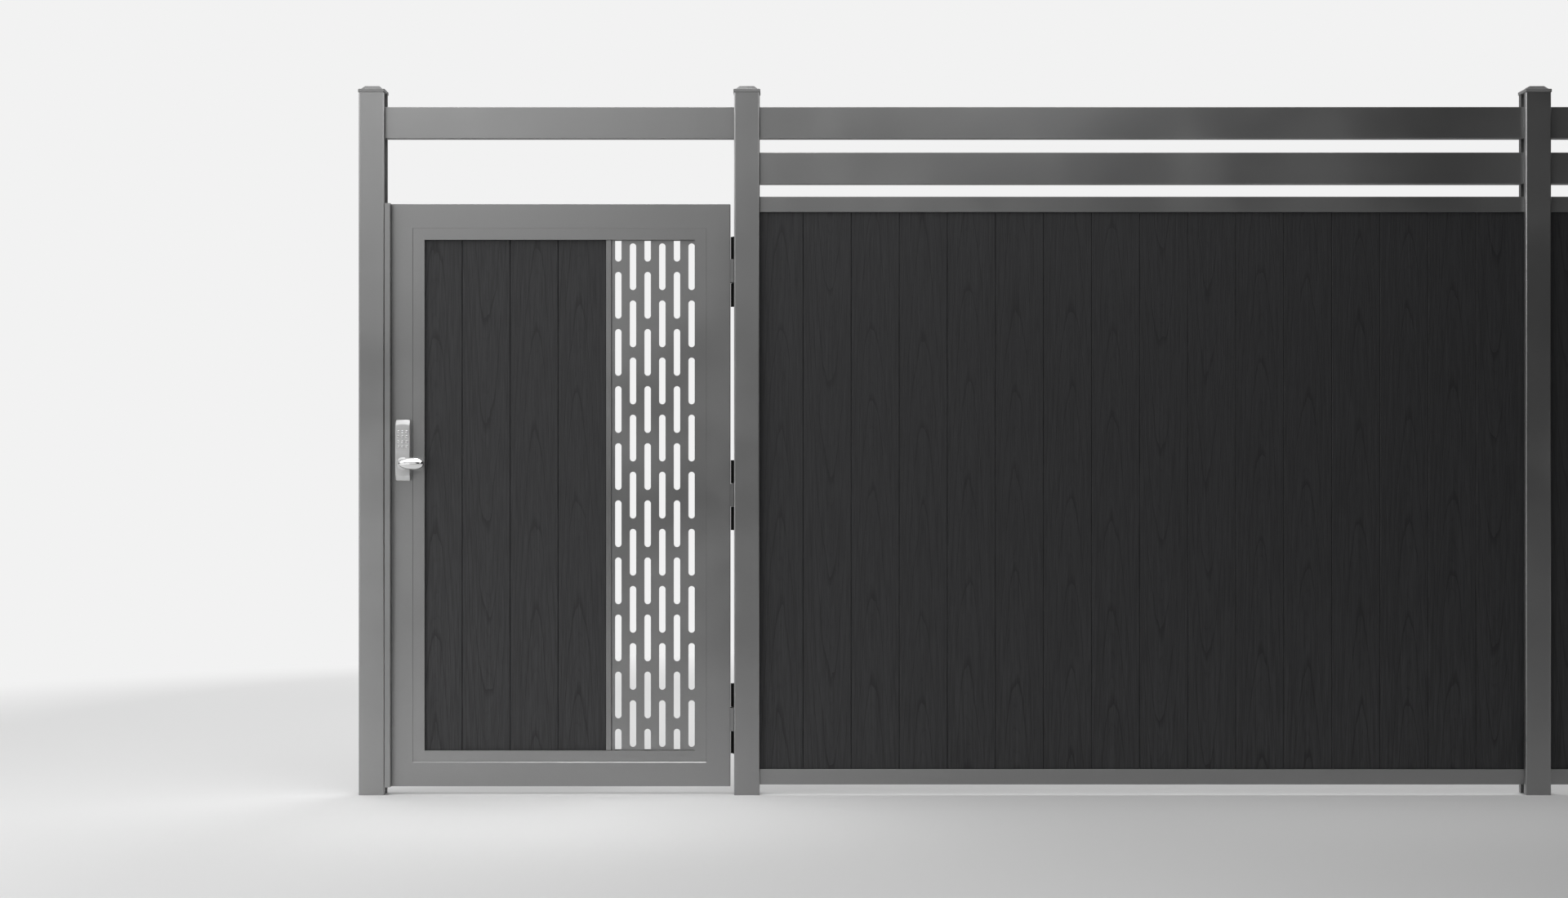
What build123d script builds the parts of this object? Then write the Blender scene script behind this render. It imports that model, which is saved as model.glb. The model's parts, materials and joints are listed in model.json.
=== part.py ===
"""Composite gate with its posts and two bays of matching fence, in millimetres.

The origin is the centre of the hinge post's foot. +X runs along the fence, away from
the gate, +Y points to the side that the gate opens to, and +Z is up.
"""
import math
import os

from build123d import *

# Setting out along the fence
gate_opening = 1096.0
fence_bay_clear = 2400.0
fence_bays = 2

# Slotted post extrusion
post_side = 80.0
post_height = 2204.0
post_corner = 4.0
post_wall = 3.0
slot_depth = 20.0
slot_lip = 5.0
slot_undercut = 5.0

# Post cap
cap_overhang = 2.0
cap_corner = 2.5
cap_rim_height = 10.0
cap_rim_edge = 1.5
cap_ledge = 7.5
cap_plateau = 45.0
cap_rise = 11.0

# Fits
seat_clearance = 0.3
end_clearance = 0.3

# Hollow rails
rail_thickness = 36.0
rail_height = 99.0
rail_wall = 2.0
rail_corner = 1.2
rail_bite = 15.0
upper_rail_drop = 44.0
rail_gap = 44.0
panel_gap = 40.0

# Tongue and groove boards
board_cover = 151.125
board_thickness = 20.0
board_bevel = 1.5
board_joint = 0.4
tongue_length = 8.0
tongue_thickness = 6.0
first_board_bite = 14.0
last_board_bite = 4.0

# Channels that hold the fence boards
channel_height = 48.0
channel_wall = 3.0
channel_lip = 3.0
lower_channel_bottom = 31.0

# Gate leaf
leaf_hinge_gap = 12.6
leaf_latch_gap = 9.5
leaf_bottom = 24.0
head_gap = 205.0
leaf_thickness = 45.0
frame_width = 76.0
frame_wall = 3.0
frame_corner = 1.2
bead_width = 36.0
bead_wall = 2.0
bead_lip = 3.0
bead_setback = 1.0
leaf_board_count = 4

# Mullion between boards and screen
mullion_width = 16.0
mullion_proud = 4.5

# Slotted privacy screen, folded back along its edges
screen_sheet = 3.0
screen_slot_width = 20.0
screen_slot_length = 147.0
screen_slot_end_chords = 6
screen_column_pitch = 46.2
screen_slot_pitch = 180.0
screen_slot_hidden = 16.0
screen_margin = 10.0

# Stop on the latch post
stop_bite = 15.0
stop_lip_reach = 13.6
stop_lip_thickness = 8.0
stop_gap = 5.0

# Hinges
hinge_count = 3
hinge_spacing = 706.0
knuckle_height = 73.0
knuckle_gap = 1.0
knuckle_radius = 5.5
pin_diameter = 6.0
pin_clearance = 0.1
pin_seat_clearance = 0.05
hinge_plate_thickness = 3.0
hinge_plate_width = 13.0
hinge_plate_gap = 1.5
hinge_block_gap = 1.5
hinge_block_depth = 17.0
hinge_arm_gap = 0.7

# Push-button lock
lock_width = 46.0
lock_height = 192.0
lock_depth = 24.0
lock_back_depth = 12.0
lock_corner = 6.0
lock_slope_length = 14.0
lock_slope_share = 0.3
lock_edge = 2.0
lock_backset = 46.5
lock_below_lever = 54.0
rose_radius = 20.0
rose_top_radius = 14.0
rose_height = 4.0
keypad_recess = 0.6
keypad_width = 40.0
keypad_border = 8.0
button_columns = 3
button_rows = 4
button_column_pitch = 12.8
button_row_pitch = 15.7
button_diameter = 8.5
button_height = 2.6
button_dome = 1.4
button_sides = 12
button_row_drop = 37.5

# Lever handle
lever_height = 1039.0
lever_tail = 11.0
lever_reach = 68.5
lever_tall = 38.0
lever_deep = 24.0
lever_standoff = 4.0
lever_point = 0.55
lever_blunt = 0.40
lever_stations = 9
lever_sides = 12
neck_diameter = 18.0
neck_bore_clearance = 0.3
neck_socket = 6.0
spindle_side = 8.0
spindle_hole = 13.0

# Sizes that follow from the ones above
half_post = post_side / 2
slot_width = rail_thickness + 2 * seat_clearance
board_mouth = board_thickness + 2 * seat_clearance
latch_post_x = -(gate_opening + post_side)
fence_pitch = fence_bay_clear + post_side
upper_rail_bottom = post_height - upper_rail_drop - rail_height
lower_rail_bottom = upper_rail_bottom - rail_gap - rail_height
upper_channel_top = lower_rail_bottom - panel_gap
leaf_left = latch_post_x + half_post + leaf_latch_gap
leaf_right = -half_post - leaf_hinge_gap
leaf_top = upper_rail_bottom - head_gap
leaf_front = half_post - leaf_thickness
leaf_back = half_post
leaf_middle = (leaf_front + leaf_back) / 2
leaf_centre_z = (leaf_bottom + leaf_top) / 2
lock_x = leaf_left + lock_backset
lock_bottom = lever_height - lock_below_lever
first_button_z = lock_bottom + lock_height - button_row_drop
hinge_x = -half_post - leaf_hinge_gap / 2
hinge_y = leaf_back
hinge_heights = [leaf_centre_z + hinge_spacing * (i - (hinge_count - 1) / 2) for i in range(hinge_count)]
leaf_outline = (leaf_left, leaf_right, leaf_bottom, leaf_top)

X_AXIS = Vector(1, 0, 0)
Z_AXIS = Vector(0, 0, 1)

parts = {}


def add(name, solids):
    """Keep one named piece: a single solid, or several that stand apart."""
    parts[name] = solids


def bar(section, start, along, opening, length):
    """Extrude a section whose local +Y faces `opening`, from `start` in direction `along`."""
    plane = Plane(origin=start, x_dir=opening.cross(along), z_dir=along)
    return extrude(plane * section, length)


def upright(outline, bottom, top):
    """Extrude a plan outline between two heights."""
    return Pos(0, 0, bottom) * extrude(outline, top - bottom)


def block(x0, x1, y0, y1, z0, z1):
    """A box between two corners."""
    return Pos((x0 + x1) / 2, (y0 + y1) / 2, (z0 + z1) / 2) * Box(x1 - x0, y1 - y0, z1 - z0)


def rod(x, z, y0, y1, radius):
    """A round bar along Y."""
    return Pos(x, (y0 + y1) / 2, z) * Rot(90, 0, 0) * Cylinder(radius, y1 - y0)


def plan_rectangle(x0, x1, y0, y1):
    """A rectangle in plan between two corners."""
    return Pos((x0 + x1) / 2, (y0 + y1) / 2) * Rectangle(x1 - x0, y1 - y0)


def post(x, slot_sides):
    """A hollow post with an undercut slot in each side named by -1 or +1."""
    pocket_width = slot_width + 2 * slot_undercut
    inner = half_post - post_wall
    outline = RectangleRounded(post_side, post_side, post_corner)
    for side in slot_sides:
        mouth_x = side * (half_post - slot_lip / 2)
        pocket_depth = slot_depth - slot_lip
        pocket_x = side * (half_post - slot_lip - pocket_depth / 2)
        outline -= Pos(mouth_x, 0) * Rectangle(slot_lip, slot_width)
        outline -= Pos(pocket_x, 0) * Rectangle(pocket_depth, pocket_width)
    slotted = half_post - slot_depth - post_wall
    left = -slotted if -1 in slot_sides else -inner
    right = slotted if 1 in slot_sides else inner
    for face in (-1, 1):
        near = face * post_wall / 2
        far = face * inner
        shoulder = face * (pocket_width / 2 + post_wall)
        cavity = plan_rectangle(left, right, min(near, far), max(near, far))
        cavity += plan_rectangle(-inner, inner, min(shoulder, far), max(shoulder, far))
        outline -= cavity
    return Pos(x, 0, 0) * extrude(outline, post_height)


def cap(x):
    """A post cap: a flat rim with a low truncated pyramid on it."""
    rim_side = post_side + 2 * cap_overhang
    rim = Pos(0, 0, cap_rim_height / 2) * Box(rim_side, rim_side, cap_rim_height)
    rim = chamfer(rim.edges().filter_by(Axis.Z), cap_corner)
    rim = chamfer(rim.edges().group_by(Axis.Z)[-1], cap_rim_edge)
    base_side = rim_side - 2 * cap_ledge
    base = Pos(0, 0, cap_rim_height) * Rectangle(base_side, base_side)
    slope = math.degrees(math.atan2((base_side - cap_plateau) / 2, cap_rise))
    return Pos(x, 0, post_height) * (rim + extrude(base, cap_rise, taper=slope))


def box_section(thickness, height, wall, corner):
    """A hollow bar with eased corners, its lower side on local Y = 0."""
    align = (Align.CENTER, Align.MIN)
    outer = Rectangle(thickness, height, align=align)
    hollow = Rectangle(thickness - 2 * wall, height - 2 * wall, align=align)
    return chamfer(outer.vertices(), corner) - Pos(0, wall) * hollow


def rail(x0, x1, bottom):
    """A hollow rail between two post faces, let into both slots."""
    section = box_section(rail_thickness, rail_height, rail_wall, rail_corner)
    start = (x0 - rail_bite, 0, bottom)
    return bar(section, start, X_AXIS, Z_AXIS, x1 - x0 + 2 * rail_bite)


def channel_section(thickness, depth, wall, lip):
    """A lipped channel with its back on local Y = 0 and its mouth towards local +Y."""
    section = Rectangle(thickness, depth, align=(Align.CENTER, Align.MIN))
    pocket = Rectangle(thickness - 2 * wall, depth - wall - lip, align=(Align.CENTER, Align.MIN))
    mouth = Rectangle(board_mouth, depth, align=(Align.CENTER, Align.MIN))
    return section - Pos(0, wall) * pocket - Pos(0, wall) * mouth


def board(x0, x1, y, bottom, top, grooved, tongued):
    """One upright board, its visible edges bevelled."""
    half = board_thickness / 2
    body = Polygon(
        (x0 + board_bevel, y - half), (x1 - board_bevel, y - half), (x1, y - half + board_bevel),
        (x1, y + half - board_bevel), (x1 - board_bevel, y + half), (x0 + board_bevel, y + half),
        (x0, y + half - board_bevel), (x0, y - half + board_bevel), align=None)
    if tongued:
        body += plan_rectangle(x1, x1 + tongue_length, y - tongue_thickness / 2, y + tongue_thickness / 2)
    if grooved:
        groove_half = tongue_thickness / 2 + seat_clearance
        groove_depth = tongue_length + end_clearance
        body -= plan_rectangle(x0, x0 + groove_depth, y - groove_half, y + groove_half)
    return upright(body, bottom, top)


def boarding(x0, x1, y, bottom, top, last_tongue):
    """Boards laid from x0 to x1, the last one ripped to what is left."""
    width = x1 - x0
    count = math.ceil(width / board_cover - 1e-6)
    boards = []
    for i in range(count):
        left = x0 + i * board_cover
        right = min(left + board_cover - board_joint, x1)
        last = i == count - 1
        boards.append(board(left, right, y, bottom, top, i > 0, last_tongue if last else True))
    return boards


def inset(rectangle, by):
    """Shrink an (x0, x1, z0, z1) rectangle by the same amount on every side."""
    x0, x1, z0, z1 = rectangle
    return (x0 + by, x1 - by, z0 + by, z1 - by)


def mitred_ring(section, outline, width):
    """Four bars of one section round an outline, cut at 45 degrees where they meet."""
    x0, x1, z0, z1 = outline
    i0, i1, j0, j1 = inset(outline, width)
    y = leaf_middle
    sides = {
        "bottom": ((x0, y, z0), X_AXIS, Z_AXIS, x1 - x0, [(x0, z0), (x1, z0), (i1, j0), (i0, j0)]),
        "top": ((x1, y, z1), -X_AXIS, -Z_AXIS, x1 - x0, [(x0, z1), (i0, j1), (i1, j1), (x1, z1)]),
        "latch": ((x0, y, z0), Z_AXIS, X_AXIS, z1 - z0, [(x0, z0), (i0, j0), (i0, j1), (x0, z1)]),
        "hinge": ((x1, y, z0), Z_AXIS, -X_AXIS, z1 - z0, [(x1, z0), (x1, z1), (i1, j1), (i1, j0)]),
    }
    ring = {}
    for side, (start, along, opening, length, corners) in sides.items():
        wedge = extrude(Plane.XZ * Polygon(*corners, align=None), leaf_thickness * 2, both=True)
        ring[side] = bar(section, start, along, opening, length) & wedge
    return ring


def leaf_frame():
    """The welded box-section frame of the leaf."""
    section = box_section(leaf_thickness, frame_width, frame_wall, frame_corner)
    ring = mitred_ring(section, leaf_outline, frame_width)
    ring["latch"] -= rod(lock_x, lever_height, leaf_front, leaf_back, spindle_hole / 2)
    return ring


def leaf_beads():
    """The lipped channels inside the frame that hold the infill."""
    section = channel_section(leaf_thickness - 2 * bead_setback, bead_width, bead_wall, bead_lip)
    return mitred_ring(section, inset(leaf_outline, frame_width), bead_width)


def mullion(x, pocket, mouth):
    """The upright between boards and screen, grooved for the last board's tongue."""
    half = board_thickness / 2
    core = plan_rectangle(x, x + mullion_width, leaf_middle - half, leaf_middle + half)
    groove_half = tongue_thickness / 2 + seat_clearance
    groove = plan_rectangle(x, x + tongue_length + end_clearance, leaf_middle - groove_half,
                            leaf_middle + groove_half)
    face = plan_rectangle(x, x + mullion_width, leaf_middle - half - mullion_proud,
                          leaf_middle + half + mullion_proud)
    bar_in_channels = upright(core - groove, pocket[2], pocket[3])
    bar_in_sight = upright(face - groove, mouth[2] + end_clearance, mouth[3] - end_clearance)
    return bar_in_channels + bar_in_sight


def round_ended_slot(x, low, high):
    """An upright slot whose half-round ends are drawn with a few chords."""
    radius = screen_slot_width / 2
    points = []
    for centre, start in ((high - radius, 0.0), (low + radius, math.pi)):
        for step in range(screen_slot_end_chords + 1):
            angle = start + math.pi * step / screen_slot_end_chords
            points.append((x + radius * math.cos(angle), centre + radius * math.sin(angle)))
    return Polygon(*points, align=None)


def screen_slots(x0, mouth):
    """Staggered slots from the hinge side of the opening, as many as it has room for."""
    x1, z0, z1 = mouth[1:]
    bridge = screen_slot_pitch - screen_slot_length
    rows = math.floor((z1 - z0 + bridge) / screen_slot_pitch)
    columns = 1 + math.floor((x1 - x0 - screen_slot_width - screen_margin) / screen_column_pitch)
    slots = Sketch()
    for column in range(columns):
        x = x1 - screen_slot_width / 2 - column * screen_column_pitch
        count = rows + column % 2
        for i in range(count):
            z = (z0 + z1) / 2 + screen_slot_pitch * (i - (count - 1) / 2)
            low = max(z - screen_slot_length / 2, z0 - screen_slot_hidden)
            high = min(z + screen_slot_length / 2, z1 + screen_slot_hidden)
            slots += round_ended_slot(x, low, high)
    return slots


def screen(x0, x1, pocket, mouth):
    """A sheet with slots cut through it and its four edges folded back."""
    z0, z1 = pocket[2], pocket[3]
    front = leaf_middle - board_thickness / 2
    back = leaf_middle + board_thickness / 2
    tray = block(x0, x1, front, back, z0, z1)
    tray -= block(x0 + screen_sheet, x1 - screen_sheet, front + screen_sheet, back + screen_sheet,
                  z0 + screen_sheet, z1 - screen_sheet)
    cut = extrude(Plane.XZ * screen_slots(x0, mouth), board_thickness + leaf_thickness, both=True)
    sheet_zone = block(x0, x1, front - screen_sheet, front + 2 * screen_sheet, z0, z1)
    return tray - (cut & sheet_zone)


def latch_stop():
    """The strip in the latch post's slot, with the lip that the leaf closes behind."""
    face = latch_post_x + half_post
    half = rail_thickness / 2
    lip_back = leaf_front - stop_gap
    outline = plan_rectangle(face - stop_bite, face, -half, half)
    outline += plan_rectangle(face, face + stop_lip_reach, lip_back - stop_lip_thickness, lip_back)
    return upright(outline, leaf_bottom, leaf_top)


def hinge_knuckles(centre_z):
    """Heights (bottom, top) of the three knuckles of one hinge, from below."""
    pitch = knuckle_height + knuckle_gap
    lowest = centre_z - 1.5 * knuckle_height - knuckle_gap
    return [(lowest + i * pitch, lowest + i * pitch + knuckle_height) for i in range(3)]


def hinge_post_side(centre_z):
    """A plate on the post with the hinge's outer knuckles."""
    knuckles = hinge_knuckles(centre_z)
    plate_back = hinge_y - knuckle_radius - hinge_plate_gap
    piece = block(-half_post - hinge_plate_thickness, -half_post, plate_back - hinge_plate_width,
                  plate_back, knuckles[0][0], knuckles[2][1])
    for bottom, top in (knuckles[0], knuckles[2]):
        piece += upright(Pos(hinge_x, hinge_y) * Circle(knuckle_radius), bottom, top)
        piece += block(hinge_x, -half_post, plate_back - hinge_plate_width / 2, hinge_y, bottom, top)
    bore = Pos(hinge_x, hinge_y) * Circle(pin_diameter / 2 + pin_seat_clearance)
    return piece - upright(bore, knuckles[0][0], knuckles[2][1])


def hinge_leaf_side(centre_z):
    """A block on the leaf's edge, flush with its front, that carries the middle knuckle."""
    bottom, top = hinge_knuckles(centre_z)[1]
    block_right = -half_post - hinge_block_gap
    arm_right = hinge_x - hinge_arm_gap
    block_back = leaf_front + hinge_block_depth
    outline = Polygon(
        (leaf_right, leaf_front), (block_right, leaf_front), (block_right, block_back),
        (arm_right, block_back + block_right - arm_right), (arm_right, leaf_back),
        (leaf_right, leaf_back), align=None)
    outline += Pos(hinge_x, hinge_y) * Circle(knuckle_radius)
    outline -= Pos(hinge_x, hinge_y) * Circle(pin_diameter / 2 + pin_clearance)
    return upright(outline, bottom, top)


def hinge_pin(centre_z):
    """The pin that the middle knuckle turns on."""
    knuckles = hinge_knuckles(centre_z)
    return upright(Pos(hinge_x, hinge_y) * Circle(pin_diameter / 2), knuckles[0][0], knuckles[2][1])


def lock_case(face, outward, depth):
    """A long lock body on one face of the leaf, sloped back at its ends, with a conical rose."""
    front = face + outward * depth
    shoulder = front - outward * depth * lock_slope_share
    lock_top = lock_bottom + lock_height
    outer = Axis.Y if outward > 0 else -Axis.Y
    outline = Pos(lock_x, (lock_bottom + lock_top) / 2) * RectangleRounded(lock_width, lock_height, lock_corner)
    plan = Pos(lock_x, (face + front) / 2) * Rectangle(lock_width, depth)
    plan = chamfer(plan.vertices().group_by(outer)[-1], lock_edge)
    side = Polygon(
        (face, lock_bottom), (shoulder, lock_bottom), (front, lock_bottom + lock_slope_length),
        (front, lock_top - lock_slope_length), (shoulder, lock_top), (face, lock_top), align=None)
    case = extrude(Plane.XZ * outline, 2 * (abs(front) + depth), both=True)
    case &= upright(plan, lock_bottom, lock_top)
    case &= extrude(Plane.YZ.offset(lock_x) * side, lock_width, both=True)
    top = front + outward * rose_height
    toward = Plane(origin=(lock_x, front, lever_height), z_dir=(0, outward, 0))
    rose = Cone(rose_radius, rose_top_radius, rose_height, align=(Align.CENTER, Align.CENTER, Align.MIN))
    case += toward * rose
    bore_radius = neck_diameter / 2 + neck_bore_clearance
    return case - rod(lock_x, lever_height, min(face, top), max(face, top), bore_radius)


def keypad():
    """The shallow recess in the lock's front that the buttons stand in."""
    rows_height = (button_rows - 1) * button_row_pitch
    front = leaf_front - lock_depth
    half = keypad_width / 2
    return block(lock_x - half, lock_x + half, front, front + keypad_recess,
                 first_button_z - rows_height - keypad_border, first_button_z + keypad_border)


def lock_buttons():
    """Tapered buttons in rows, standing on the floor of the keypad."""
    floor = leaf_front - lock_depth + keypad_recess
    buttons = []
    for row in range(button_rows):
        for column in range(button_columns):
            x = lock_x + button_column_pitch * (column - (button_columns - 1) / 2)
            z = first_button_z - button_row_pitch * row
            base = Plane(origin=(x, floor, z), z_dir=(0, -1, 0))
            button = extrude(base * RegularPolygon(button_diameter / 2, button_sides), button_height)
            buttons.append(chamfer(button.edges().group_by(Axis.Y)[0], button_dome))
    return buttons


def teardrop(share):
    """The lever's thickness at a share of its length, 1 at its fattest."""
    fattest = lever_point / (lever_point + lever_blunt)
    return (share / fattest) ** lever_point * ((1 - share) / (1 - fattest)) ** lever_blunt


def lever(face, outward, depth):
    """A fat teardrop lever on a round neck, pointing towards the hinges."""
    rose_front = face + outward * (depth + rose_height)
    centre_y = rose_front + outward * (lever_standoff + lever_deep / 2)
    tip = lock_x - lever_tail
    length = lever_tail + lever_reach
    points = [(tip, centre_y, lever_height), (tip + length, centre_y, lever_height)]
    for i in range(1, lever_stations):
        share = (1 - math.cos(math.pi * i / lever_stations)) / 2
        fat = teardrop(share)
        for side in range(lever_sides):
            angle = 2 * math.pi * side / lever_sides
            y = centre_y + fat * lever_deep / 2 * math.cos(angle)
            z = lever_height + fat * lever_tall / 2 * math.sin(angle)
            points.append((tip + share * length, y, z))
    grip = ConvexPolyhedron(points)
    root = rose_front - outward * (neck_socket - end_clearance)
    neck = rod(lock_x, lever_height, min(root, centre_y), max(root, centre_y), neck_diameter / 2)
    return grip + neck


def spindle():
    """The square bar that joins the two levers through the leaf."""
    front = leaf_front - lock_depth - rose_height + neck_socket - end_clearance
    back = leaf_back + lock_back_depth + rose_height - neck_socket + end_clearance
    half = spindle_side / 2
    return block(lock_x - half, lock_x + half, front, back, lever_height - half, lever_height + half)


def build_posts():
    """Posts and caps, from the latch post to the last fence post."""
    places = {"latch_post": (latch_post_x, (1,)), "hinge_post": (0.0, (-1, 1))}
    for bay in range(1, fence_bays + 1):
        slots = (-1, 1) if bay < fence_bays else (-1,)
        places[f"fence_post_{bay}"] = (bay * fence_pitch, slots)
    for name, (x, slots) in places.items():
        add(name, post(x, slots))
        add(f"{name}_cap", cap(x))


def build_fence():
    """Rails, channels and boards of each fence bay, and the rail over the gate."""
    add("gate_head_rail", rail(latch_post_x + half_post, -half_post, upper_rail_bottom))
    section = channel_section(rail_thickness, channel_height, channel_wall, channel_lip)
    for bay in range(1, fence_bays + 1):
        left = (bay - 1) * fence_pitch + half_post
        right = left + fence_bay_clear
        length = fence_bay_clear + 2 * rail_bite
        add(f"fence_upper_rail_{bay}", rail(left, right, upper_rail_bottom))
        add(f"fence_lower_rail_{bay}", rail(left, right, lower_rail_bottom))
        low_end = (left - rail_bite, 0, lower_channel_bottom)
        high_end = (right + rail_bite, 0, upper_channel_top)
        add(f"fence_bottom_channel_{bay}", bar(section, low_end, X_AXIS, Z_AXIS, length))
        add(f"fence_top_channel_{bay}", bar(section, high_end, -X_AXIS, -Z_AXIS, length))
        boards = boarding(left - first_board_bite, right + last_board_bite, 0.0,
                          lower_channel_bottom + channel_wall, upper_channel_top - channel_wall - end_clearance,
                          False)
        add(f"fence_boards_{bay}", boards)


def build_leaf():
    """The gate leaf: frame, beads, boards, mullion and screen."""
    for side, piece in leaf_frame().items():
        add(f"leaf_{side}_frame", piece)
    for side, piece in leaf_beads().items():
        add(f"leaf_{side}_bead", piece)
    pocket = inset(leaf_outline, frame_width + bead_wall + end_clearance)
    mouth = inset(leaf_outline, frame_width + bead_width)
    boards_right = pocket[0] + leaf_board_count * board_cover
    add("leaf_boards", boarding(pocket[0], boards_right, leaf_middle, pocket[2], pocket[3], True))
    add("leaf_mullion", mullion(boards_right, pocket, mouth))
    screen_left = boards_right + mullion_width + end_clearance
    add("leaf_screen", screen(screen_left, pocket[1], pocket, mouth))


def build_hinges():
    """Three hinges between leaf and hinge post."""
    for name, z in zip(("bottom", "middle", "top"), hinge_heights):
        add(f"hinge_{name}_post_plate", hinge_post_side(z))
        add(f"hinge_{name}_leaf_block", hinge_leaf_side(z))
        add(f"hinge_{name}_pin", hinge_pin(z))


def build_lock():
    """The push-button lock through the latch stile, with a lever on each side."""
    add("lock_front_case", lock_case(leaf_front, -1, lock_depth) - keypad())
    add("lock_back_case", lock_case(leaf_back, 1, lock_back_depth))
    add("lock_buttons", lock_buttons())
    add("lever_front", lever(leaf_front, -1, lock_depth))
    add("lever_back", lever(leaf_back, 1, lock_back_depth))
    add("lever_spindle", spindle())


build_posts()
build_fence()
add("latch_stop", latch_stop())
build_leaf()
build_hinges()
build_lock()

os.makedirs("parts", exist_ok=True)
for name, solids in parts.items():
    shape = Compound(children=list(solids)) if isinstance(solids, list) else solids
    export_step(shape, f"parts/{name}.step")
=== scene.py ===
"""Looks of a composite gate with its fence bays, in metres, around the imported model."""
import json
import math

import bmesh
import bpy
from mathutils import Matrix, Vector


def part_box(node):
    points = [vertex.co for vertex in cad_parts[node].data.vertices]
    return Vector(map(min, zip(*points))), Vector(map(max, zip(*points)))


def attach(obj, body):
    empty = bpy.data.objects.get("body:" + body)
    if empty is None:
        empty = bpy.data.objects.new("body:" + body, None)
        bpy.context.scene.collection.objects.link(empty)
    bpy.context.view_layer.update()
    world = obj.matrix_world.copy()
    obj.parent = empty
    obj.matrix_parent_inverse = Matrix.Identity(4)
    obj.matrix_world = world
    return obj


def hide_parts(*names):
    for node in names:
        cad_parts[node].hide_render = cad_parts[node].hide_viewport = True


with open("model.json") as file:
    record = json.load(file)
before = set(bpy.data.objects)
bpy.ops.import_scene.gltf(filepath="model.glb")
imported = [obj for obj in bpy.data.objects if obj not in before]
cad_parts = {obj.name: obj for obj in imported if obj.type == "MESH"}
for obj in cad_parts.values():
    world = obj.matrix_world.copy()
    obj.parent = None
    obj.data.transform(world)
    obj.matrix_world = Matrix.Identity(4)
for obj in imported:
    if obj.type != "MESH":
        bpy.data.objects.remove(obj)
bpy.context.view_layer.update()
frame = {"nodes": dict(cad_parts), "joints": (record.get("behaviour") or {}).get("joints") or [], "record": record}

# The range that most of a noise pattern keeps to
NOISE_LOW = 0.3
NOISE_HIGH = 0.7

# Powder coat: patterns in repeats to a metre
CLOUD_SCALE = 3.0
CLOUD_WEIGHT = 0.55
FLECK_SCALE = 900.0
FLECK_WEIGHT = 0.45
COAT_GLOSS_SWING = 0.04
PEEL_SCALE = 420.0
PEEL_HEIGHT = 0.00005
PEEL_STRENGTH = 0.5

# Cast and plated metal
METAL_CLOUD_SCALE = 60.0
METAL_CLOUD_WEIGHT = 0.5
METAL_GRAIN_WEIGHT = 0.5
METAL_GLOSS_SWING = 0.15
METAL_SKIN_STRENGTH = 0.4

# Boards
BOARD_COVER = 0.151125
BOARD_SEEDS = {"fence_boards_1": 3.0, "fence_boards_2": 41.0, "leaf_boards": 90.0}
BOARD_DARK = (0.011, 0.011, 0.012, 1.0)
BOARD_LIGHT = (0.044, 0.044, 0.046, 1.0)
BOARD_GLOSS_FROM = 0.1
BOARD_GLOSS_TO = 0.8
BOARD_DARK_ROUGHNESS = 0.52
BOARD_LIGHT_ROUGHNESS = 0.36
BOARD_RELIEF = 0.0005
BOARD_RELIEF_STRENGTH = 0.6

# Arches in the boards' grain
ARCH_SPACING = 0.30
ARCH_DROP = 0.0053
ARCH_MIDDLE_LOW = 0.38
ARCH_MIDDLE_HIGH = 0.62
ARCH_DOWN_SHARE = 0.42
ARCH_SHIFT = 7.0
WANDER_STRETCH = (14.0, 14.0, 2.4)
WANDER_WEIGHT = 1.1
RIPPLE_STRETCH = (70.0, 70.0, 9.0)
RIPPLE_WEIGHT = 0.10
LINE_RISE_END = 0.012
LINE_FADE_START = 0.02
LINE_FADE_END = 0.16
LINE_WEIGHT = -0.44
FINE_LINES = 4.0
FINE_LINE_FADE_END = 0.28
FINE_LINE_WEIGHT = -0.14

# Upright streaks in the boards' grain
BAND_STRETCH = (150.0, 150.0, 6.0)
BAND_ROUGHNESS = 0.6
BAND_WEIGHT = 0.42
STREAK_STRETCH = (430.0, 430.0, 11.0)
STREAK_WEIGHT = 0.34
FIBRE_STRETCH = (1100.0, 1100.0, 26.0)
FIBRE_WEIGHT = 0.28
PORE_START = 0.60
PORE_FULL = 0.74
PORE_WEIGHT = -0.22

# Slotted screen
SHEET = 0.003
SHEET_EDGE = 0.0004
FOLD_RADIUS = 0.003
FOLD_STEPS = 8
SLOT_WIDTH = 0.020
SLOT_LENGTH = 0.147
SLOT_PITCH = 0.180
SLOT_ROWS = 9
SLOT_COLUMNS = 6
SLOT_COLUMN_PITCH = 0.0462
SLOT_HIDDEN = 0.016
SLOT_END_STEPS = 16

# Lock cases
LOCK_ROWS = 120
LOCK_COLUMNS = 40
LOCK_SLOPE_LENGTH = 0.014
LOCK_SLOPE_SHARE = 0.3
LOCK_SLOPE_ARCH = 0.004
LOCK_BLEND = 0.0012
LOCK_EDGE = 0.0022
LOCK_CORNER = 0.006
KEYPAD_RECESS = 0.0006
KEYPAD_WIDTH = 0.040
KEYPAD_BORDER = 0.008
STEP_SHARE = 0.0005

# Rose round the lever's neck
ROSE_RADIUS = 0.020
ROSE_TOP_RADIUS = 0.014
ROSE_HEIGHT = 0.004
ROSE_SUNK = 0.001
ROSE_BEVEL = 0.0006
ROSE_EASE_RUN = 0.0008
ROSE_EASE_DROP = 0.0003
ROSE_SIDES = 64

# Keypad buttons
BUTTON_COLUMNS = 3
BUTTON_ROWS = 4
BUTTON_RADIUS = 0.00425
BUTTON_RIM_SHARE = 0.36
BUTTON_FOOT = 0.0009
BUTTON_DOME = 0.0017
BUTTON_DISH = 0.0003
BUTTON_STEPS = 12
BUTTON_SIDES = 32

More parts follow.
